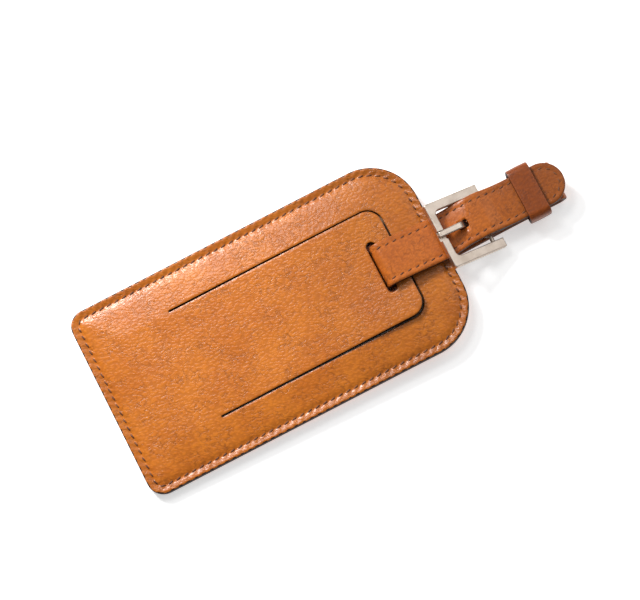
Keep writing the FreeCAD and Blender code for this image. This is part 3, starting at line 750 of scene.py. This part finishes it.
def make_strap_stitches():
    """Two rows of stitches along the strap's outer face, joined round its tip."""
    stations = follow(strap_route(False), 0.3)
    row_half = TIP_HALF - STRAP_INSET

    def on_strip(length, across):
        at, point, way = min(stations, key=lambda station: abs(station[0] - length))
        point = point + way * (length - at)
        out = Vector((way.y, -way.x))
        offset = HALF_THICK + between(PROFILE, STRAP_INSET) - strap_dip(point, way, across)
        spot = point + out * offset
        place = row(spot.x, across + sideways(point), spot.y)
        return place, Vector((way.x, 0, way.y)), Vector((out.x, 0, out.y))

    places = []
    count = round((stations[-1][0] - TIP_HALF) / STITCH_PITCH)
    for side in (-1, 1):
        for k in range(count):
            length = TIP_HALF + (k + 0.5) * STITCH_PITCH
            centre, way, up = on_strip(length, side * (side_half(length) - STRAP_INSET))
            places.append((centre, way * side, up))
    count = round(math.pi * row_half / STITCH_PITCH)
    for k in range(count):
        angle = -math.pi / 2 + math.pi * (k + 0.5) / count
        centre, way, up = on_strip(TIP_HALF - row_half * math.cos(angle), row_half * math.sin(angle))
        along = way * math.sin(angle) + Vector((0, math.cos(angle), 0))
        places.append((centre, along, up))
    piece = stitch_mesh("strap_stitches", places, STRAP_STITCH)
    bend_with_strap(piece)
    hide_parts("strap_root_stitching", "strap_stitching")


# ---------- keeper and prong

def make_keeper():
    """A leather band with rounded, painted edges, round the strap's two upper runs."""
    low, high = box_mm("keeper_band")
    middle = (low + high) / 2
    half_y, half_z = (high.y - low.y) / 2, (high.z - low.z) / 2
    width, wall, corner = high.x - low.x, 1.2, 2.2
    loop = rounded_outline(-half_y, half_y, half_z, corner, corner, 0.4)
    half_section = [(0.0, 0.30), (0.06, 0.10), (0.22, 0.02), (0.6, 0.0), (1.8, -0.05)]
    section = half_section + [(width / 2, -0.08)]
    section += [(width - along, depth) for along, depth in reversed(half_section)]
    vertices, uvs, total = [], [], 0.0
    for index, (point, out) in enumerate(loop):
        total += (point - loop[index - 1][0]).length if index else 0
        inner = [(width, wall - 0.15), (width - 0.15, wall), (0.15, wall), (0.0, wall - 0.15)]
        for along, depth in section + inner:
            spot = point - out * depth
            vertices.append(Vector((low.x + along, spot.x, middle.z + spot.y)) * MM)
            uvs.append((along / 10, total / 10))
    last, sides = len(section) - 1, len(section) + 4
    edges = (0, last - 1, last, last + 1, sides - 2, sides - 1)
    painted = [r * sides + k for r in range(len(loop)) for k in edges]
    keeper = new_object("keeper_leather", vertices, ring_faces(len(loop), sides, True), uvs,
                        painted=painted)
    keeper.data.flip_normals()
    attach(keeper, "keeper")
    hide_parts("keeper_band")
    return keeper


def make_prong():
    """A flat-backed, round-topped prong: an eye on the pin and a cranked shank with a blunt tip."""
    route = [(-0.5, 0.2, 0), (-4.9, 0.35, 1.3), (-6.5, 4.65, 1.5), (-14.6, 6.1, 0)]
    stations = follow(route, 0.2)
    total = stations[-1][0]
    half_wide, half_thick = 1.0, 0.6
    outline = [(0.85, -0.95), (1.0, -0.7), (1.0, 0.55), (0.96, 0.76), (0.86, 0.90), (0.70, 0.97)]
    flat_top = (len(outline) - 1, len(outline))
    outline += [(-across, up) for across, up in reversed(outline)]
    vertices = []
    for length, point, way in stations:
        left = total - length
        taper = 1.0 if left > 1.0 else math.sqrt(max(1 - (1 - left) ** 2, 0.03))
        narrow = 1 - 0.08 * smooth(8, total, length)
        normal = Vector((way.y, -way.x))
        for across, up in outline:
            spot = point + normal * up * half_thick * taper
            vertices.append(row(PIN.x + spot.x, across * half_wide * taper * narrow, PIN.z + spot.y))
    sides = len(outline)
    faces = ring_faces(len(stations), sides, False) + end_caps(len(stations), sides)
    start = len(vertices)
    hole, rim, steps = PIN_RADIUS + TURNING_GAP, 1.6, 36
    eye = [(hole, -0.9), (hole + 0.12, -1.0), (rim - 0.2, -1.0), (rim, -0.8)]
    eye += [(radius, -y) for radius, y in reversed(eye)]
    for k in range(steps):
        out = direction(360 * k / steps)
        for radius, y in eye:
            vertices.append(row(PIN.x + radius * out.x, y, PIN.z + radius * out.y))
    faces += [tuple(start + i for i in face) for face in ring_faces(steps, len(eye), True)]
    sharp = {(r * sides + k, (r + 1) * sides + k) for r in range(len(stations) - 1) for k in flat_top}
    prong = new_object("prong_steel", vertices, faces, sharp=sharp)
    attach(prong, "prong")
    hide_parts("prong")
    return prong


# ---------- materials

GRAIN_STRETCH, GRAIN_TURN = 1.55, math.radians(-27)


class Shader:
    """A short way to write a material's node tree."""

    def __init__(self, name):
        self.material = bpy.data.materials.new(name)
        self.material.use_nodes = True
        self.tree = self.material.node_tree
        self.tree.nodes.clear()
        self.surface = self.add("ShaderNodeBsdfPrincipled")
        self.add("ShaderNodeOutputMaterial", {"Surface": self.surface.outputs[0]})

    def give(self, socket, given):
        """Join the socket to another node's output, or set it to a value."""
        if isinstance(given, bpy.types.NodeSocket):
            self.tree.links.new(given, socket)
        else:
            socket.default_value = given

    def add(self, kind, inputs=None, **settings):
        node = self.tree.nodes.new(kind)
        for key, setting in settings.items():
            setattr(node, key, setting)
        for key, given in (inputs or {}).items():
            self.give(node.inputs[key], given)
        return node

    def set(self, **values):
        for key, given in values.items():
            self.give(self.surface.inputs[key.replace("_", " ")], given)

    def coordinates(self, turn=0.0, stretch=1.0):
        """The mesh's UV coordinates, with the pattern turned and drawn out so many times one way."""
        source = self.add("ShaderNodeUVMap", uv_map="UVMap")
        return self.add("ShaderNodeMapping", {
            "Vector": source.outputs["UV"], "Rotation": (0, 0, turn), "Scale": (stretch, 1, 1)},
            vector_type="TEXTURE").outputs[0]

    def object_coordinates(self, scale=(1, 1, 1)):
        source = self.add("ShaderNodeTexCoord")
        return self.add("ShaderNodeMapping", {
            "Vector": source.outputs["Object"], "Scale": scale}).outputs[0]

    def noise(self, vector, scale, detail=2.0, roughness=0.5, distortion=0.0):
        return self.add("ShaderNodeTexNoise", {
            "Vector": vector, "Scale": scale, "Detail": detail, "Roughness": roughness,
            "Distortion": distortion}).outputs["Fac"]

    def math(self, operation, a, b=0.0):
        return self.add("ShaderNodeMath", {0: a, 1: b}, operation=operation).outputs[0]

    def total(self, *terms):
        """The sum of the (value, weight) terms, each value times its weight."""
        result = 0.0
        for value, weight in terms:
            result = self.add("ShaderNodeMath", {0: value, 1: weight, 2: result},
                              operation="MULTIPLY_ADD").outputs[0]
        return result

    def scaled(self, vector, scale):
        return self.add("ShaderNodeVectorMath", {0: vector, 3: scale}, operation="SCALE").outputs[0]

    def remap(self, value, low, high, to_low=0.0, to_high=1.0, kind="SMOOTHSTEP"):
        return self.add("ShaderNodeMapRange", {
            "Value": value, "From Min": low, "From Max": high, "To Min": to_low, "To Max": to_high},
            interpolation_type=kind).outputs["Result"]

    def mix(self, factor, a, b):
        return self.add("ShaderNodeMix", {0: factor, 6: a, 7: b}, data_type="RGBA").outputs[2]

    def mottled(self, pattern, dark, light):
        """A colour that runs from dark to light with a noise pattern."""
        return self.mix(self.remap(pattern, 0.3, 0.7), dark, light)

    def bump(self, height, distance, strength=1.0):
        return self.add("ShaderNodeBump", {
            "Height": height, "Distance": distance, "Strength": strength}).outputs["Normal"]


def rgb(red, green, blue):
    """A colour given as 0 to 255 display values, as linear light."""
    def linear(c):
        c /= 255
        return c / 12.92 if c < 0.04045 else ((c + 0.055) / 1.055) ** 2.4
    return (linear(red), linear(green), linear(blue), 1.0)


def shaded(colour, factor):
    return tuple(c * factor for c in colour[:3]) + (1,)


def leather_material(name, light, dark, grain, depth, roughness, gloss, along=None):
    """Tumbled leather: soft lumps drawn out one way, with creases that come and go between them.
    grain is the lumps' number per cm, depth their height in mm. along, if given, holds two
    (cm along the piece, brightness) pairs, and the brightness runs from the first to the second."""
    shader = Shader(name)
    place = shader.coordinates()
    drawn = shader.coordinates(GRAIN_TURN, GRAIN_STRETCH)
    warp = shader.noise(place, grain * 0.5)
    push = shader.add("ShaderNodeCombineXYZ", {0: warp, 1: warp}).outputs[0]
    push = shader.scaled(push, 2.2 / grain)
    pushed = shader.add("ShaderNodeVectorMath", {0: drawn, 1: push}, operation="ADD").outputs[0]
    cells = shader.add("ShaderNodeTexVoronoi", {"Vector": pushed, "Scale": grain, "Smoothness": 0.55},
                       feature="SMOOTH_F1", voronoi_dimensions="2D").outputs["Distance"]
    lumps = shader.remap(cells, 0.65, 0.10)
    ridges = shader.noise(drawn, grain * 0.42, 3, 0.55, 0.7)
    ridges = shader.math("ABSOLUTE", shader.math("SUBTRACT", ridges, 0.5))
    presence = shader.remap(shader.noise(place, grain * 0.12), 0.36, 0.62)
    creases = shader.math("MULTIPLY", shader.remap(ridges, 0.055, 0.0), presence)
    swell = shader.noise(drawn, grain * 0.22)
    fine = shader.noise(place, grain * 3.6, 3, 0.6)
    height = shader.total((lumps, 0.50), (creases, -0.42), (swell, 0.8), (fine, 0.14))
    patches = shader.noise(place, 0.55, 3, 0.55)
    mottle = shader.noise(place, grain * 0.5, 3, 0.6)
    tone = shader.total((patches, 0.6), (mottle, 0.4))
    base = shader.mix(shader.remap(tone, 0.34, 0.66), dark, light)
    # Painted shade: the colour darkens between the grain's lumps and in its creases.
    low = shader.total((shader.math("SUBTRACT", 1.0, lumps), 0.26), (creases, 0.40))
    colour = shader.mix(low, base, shaded(dark, 0.40))
    # The attribute darkens the colour: worn rims, and painted shade in the sewn valley and beside the
    # cut and the slot.
    wear_and_shade = shader.add("ShaderNodeAttribute", attribute_name="wear_and_shade").outputs["Fac"]
    colour = shader.mix(shader.math("MULTIPLY", wear_and_shade, 0.7), colour, shaded(dark, 0.45))
    if along:
        length = shader.add("ShaderNodeSeparateXYZ", {0: place}).outputs["X"]
        (start, first), (end, last) = along
        colour = shader.scaled(colour, shader.remap(length, start, end, first, last))
    shine = shader.total((mottle, 1.0), (lumps, 0.2))
    relief = shader.bump(height, depth * MM)
    shader.set(Base_Color=colour, Normal=relief, IOR=1.5, Specular_IOR_Level=0.25,
               Roughness=shader.remap(shine, 0.3, 0.95, roughness + 0.07, roughness - 0.07, "LINEAR"),
               Coat_Weight=gloss, Coat_Roughness=0.22, Coat_Normal=relief)
    return shader.material


def painted_edge_material():
    shader = Shader("edge_paint")
    streaks = shader.noise(shader.object_coordinates(), 900, 3, 0.6)
    colour = shader.mottled(streaks, rgb(34, 15, 8), rgb(58, 28, 15))
    shader.set(Base_Color=colour, Normal=shader.bump(streaks, 0.05 * MM), Specular_IOR_Level=0.3,
               Roughness=shader.remap(streaks, 0.2, 0.8, 0.46, 0.62, "LINEAR"))
    return shader.material


def thread_material():
    shader = Shader("waxed_thread")
    twist = shader.add("ShaderNodeTexWave", {"Vector": shader.coordinates(-0.6), "Scale": 9.0,
                                             "Distortion": 1.5}, wave_type="BANDS").outputs["Fac"]
    patches = shader.noise(shader.object_coordinates(), 420)
    colour = shader.mottled(patches, rgb(96, 50, 22), rgb(140, 84, 44))
    colour = shader.mix(shader.math("MULTIPLY", twist, 0.35), colour, rgb(70, 34, 15))
    shader.set(Base_Color=colour, Normal=shader.bump(twist, 0.04 * MM),
               Roughness=shader.remap(patches, 0.3, 0.7, 0.48, 0.62, "LINEAR"))
    return shader.material


def metal_material():
    """Satin nickel: fine brushing, soft patches and a slightly warm tone."""
    shader = Shader("satin_nickel")
    brush = shader.noise(shader.object_coordinates((60, 900, 900)), 4.0, 3, 0.6)
    haze = shader.noise(shader.object_coordinates(), 260, 3)
    colour = shader.mottled(haze, rgb(204, 188, 173), rgb(224, 209, 195))
    shader.set(Base_Color=colour, Metallic=1.0, Normal=shader.bump(brush, 0.006 * MM, 0.6),
               Roughness=shader.remap(brush, 0.2, 0.8, 0.30, 0.44, "LINEAR"))
    return shader.material


def lining_material():
    shader = Shader("woven_lining")
    place = shader.object_coordinates()
    across, down = (shader.add("ShaderNodeTexWave", {"Vector": place, "Scale": 500},
                               bands_direction=way).outputs["Fac"] for way in "XY")
    weave = shader.math("MULTIPLY", across, down)
    patches = shader.noise(place, 90, 3)
    colour = shader.mottled(patches, rgb(104, 74, 50), rgb(128, 94, 64))
    shader.set(Base_Color=shader.mix(weave, colour, rgb(142, 108, 76)), Roughness=0.85,
               Normal=shader.bump(weave, 0.03 * MM))
    return shader.material


def fibre_material(name, dark, light, fineness, drawn, roughness, depth):
    """Board or paper of matted fibres. fineness is their number per metre, drawn how much longer
    than wide they are, and depth their height in mm."""
    shader = Shader(name)
    fibres = shader.noise(shader.object_coordinates((1, drawn, 1)), fineness, 4, 0.7)
    shader.set(Base_Color=shader.mottled(fibres, dark, light),
               Roughness=roughness, Normal=shader.bump(fibres, depth * MM))
    return shader.material


def film_material():
    shader = Shader("window_film")
    smears = shader.noise(shader.object_coordinates(), 60, 3)
    colour = shader.mottled(smears, rgb(226, 229, 230), rgb(236, 238, 238))
    shader.set(Base_Color=colour, Alpha=0.2, Specular_IOR_Level=0.3,
               Roughness=shader.remap(smears, 0.3, 0.7, 0.08, 0.22, "LINEAR"))
    return shader.material


def floor_material(name, glow):
    shader = Shader(name)
    shader.set(Base_Color=(0.96, 0.96, 0.96, 1), Roughness=0.9, Emission_Color=(1, 1, 1, 1),
               Emission_Strength=glow)
    return shader.material


def coat(piece, *materials):
    slots = piece.data.materials
    for index, material in enumerate(materials):
        if index < len(slots):
            slots[index] = material
        else:
            slots.append(material)


# ---------- build

front_panel = make_front_panel()
flap = make_flap()
back_panel = make_back_panel()
painted_edge = make_painted_edge()
make_tag_stitches()
strap_leather, strap_lining = make_strap()
make_strap_stitches()
keeper = make_keeper()
prong = make_prong()

# Painted shade: the tag's leather darkens towards its strap end, from full brightness at 4.5 cm to
# 0.8 at 11.2 cm.
tan = leather_material(
    "pebbled_tan_leather", light=rgb(221, 126, 31), dark=rgb(201, 107, 20), grain=12.0, depth=0.07,
    roughness=0.45, gloss=0.55, along=((4.5, 1.0), (11.2, 0.80)))
strap_tan = leather_material(
    "strap_leather", light=rgb(193, 104, 33), dark=rgb(168, 85, 23), grain=14.0, depth=0.03,
    roughness=0.42, gloss=0.25, along=((0.4, 0.72), (5.0, 1.18)))
keeper_brown = leather_material(
    "keeper_leather", light=rgb(148, 72, 20), dark=rgb(130, 60, 14), grain=14.0, depth=0.025,
    roughness=0.42, gloss=0.25)
lining_tan = leather_material(
    "strap_lining_leather", light=rgb(160, 92, 40), dark=rgb(140, 76, 30), grain=18.0, depth=0.02,
    roughness=0.6, gloss=0.1)
edge_paint, thread, nickel = painted_edge_material(), thread_material(), metal_material()
woven = lining_material()

for piece in (front_panel, flap, back_panel):
    coat(piece, tan, edge_paint)
coat(painted_edge, edge_paint)
coat(strap_leather, strap_tan, edge_paint)
coat(strap_lining, lining_tan, edge_paint)
coat(keeper, keeper_brown, edge_paint)
coat(prong, nickel)
for name in ("front_stitches", "back_stitches", "strap_stitches"):
    coat(bpy.data.objects[name], thread)
for names, material in ((("buckle_frame", "heel_pin"), nickel),
                        (("keeper_stitching", "chape_stitching"), thread),
                        (("back_lining", "front_lining", "flap_lining"), woven)):
    for name in names:
        coat(nodes[name], material)
coat(nodes["back_board"], fibre_material(
    "grey_board", rgb(150, 134, 112), rgb(178, 162, 140), 700, 3, 0.9, 0.02))
coat(nodes["address_card"], fibre_material(
    "card_paper", rgb(232, 229, 220), rgb(243, 241, 235), 1500, 1, 0.8, 0.01))
coat(nodes["card_window"], film_material())


# ---------- floor, light and camera

def make_floor():
    """A pale floor that glows a little, so that it stays white, except beneath the strap's slot."""
    size = 6.0
    slot_x, reach_x, reach_y = 0.016, 0.006, 0.013
    xs = (-size, slot_x - reach_x, slot_x + reach_x, size)
    ys = (-size, -reach_y, reach_y, size)
    faces = [(k, k + 1, k + 5, k + 4) for k in (0, 1, 2, 4, 5, 6, 8, 9, 10)]
    middle = 4
    floor = new_object("floor", [(x, y, 0) for y in ys for x in xs], faces, painted=[middle])
    coat(floor, floor_material("pale_floor", 0.5), floor_material("covered_floor", 0.0))
    floor.location.z = -0.02 * MM  # just under the lowest face, not in it


def area_light(name, place, aim, size, power):
    data = bpy.data.lights.new(name, "AREA")
    data.shape, data.size, data.energy = "DISK", size, power
    light = bpy.data.objects.new(name, data)
    light.location = place
    light.rotation_euler = (Vector(aim) - Vector(place)).to_track_quat("-Z", "Y").to_euler()
    bpy.context.scene.collection.objects.link(light)


def make_camera():
    """The photograph's view: almost straight down, from a little to the near side, turned so that
    the tag runs up to the right."""
    target = Vector((-5.734, 0.008, 5.0)) * MM
    azimuth, elevation, roll = (math.radians(a) for a in (-7.85, 79.41, -19.36))
    distance = 0.8
    back = Vector((math.sin(azimuth) * math.cos(elevation), -math.cos(azimuth) * math.cos(elevation),
                   math.sin(elevation)))
    right = (-back).cross(Vector((0, 0, 1))).normalized()
    up = right.cross(-back)
    x_axis = right * math.cos(roll) + up * math.sin(roll)
    y_axis = up * math.cos(roll) - right * math.sin(roll)
    data = bpy.data.cameras.new("camera")
    data.lens, data.sensor_width = 145.03, 36.0
    camera = bpy.data.objects.new("camera", data)
    turn = Matrix((x_axis, y_axis, back)).transposed().to_4x4()
    camera.matrix_world = Matrix.Translation(target + back * distance) @ turn
    data.clip_start = 0.01
    bpy.context.scene.collection.objects.link(camera)
    bpy.context.scene.camera = camera


def make_world():
    world = bpy.data.worlds.new("studio")
    world.use_nodes = True
    background = world.node_tree.nodes["Background"]
    background.inputs["Color"].default_value = (1, 1, 1, 1)
    background.inputs["Strength"].default_value = 0.19
    bpy.context.scene.world = world


make_floor()
area_light("key", (-0.14, 0.42, 0.36), (0, 0, 0), 0.17, 3.5)
area_light("gloss", (-0.06, 0.34, 0.60), (0, 0, 0), 0.20, 0.9)
area_light("metal_glow", (0.54, 0.20, 0.72), (0.06, 0, 0), 0.66, 1.35)
make_camera()
make_world()
bpy.context.scene.view_settings.view_transform = "Standard"
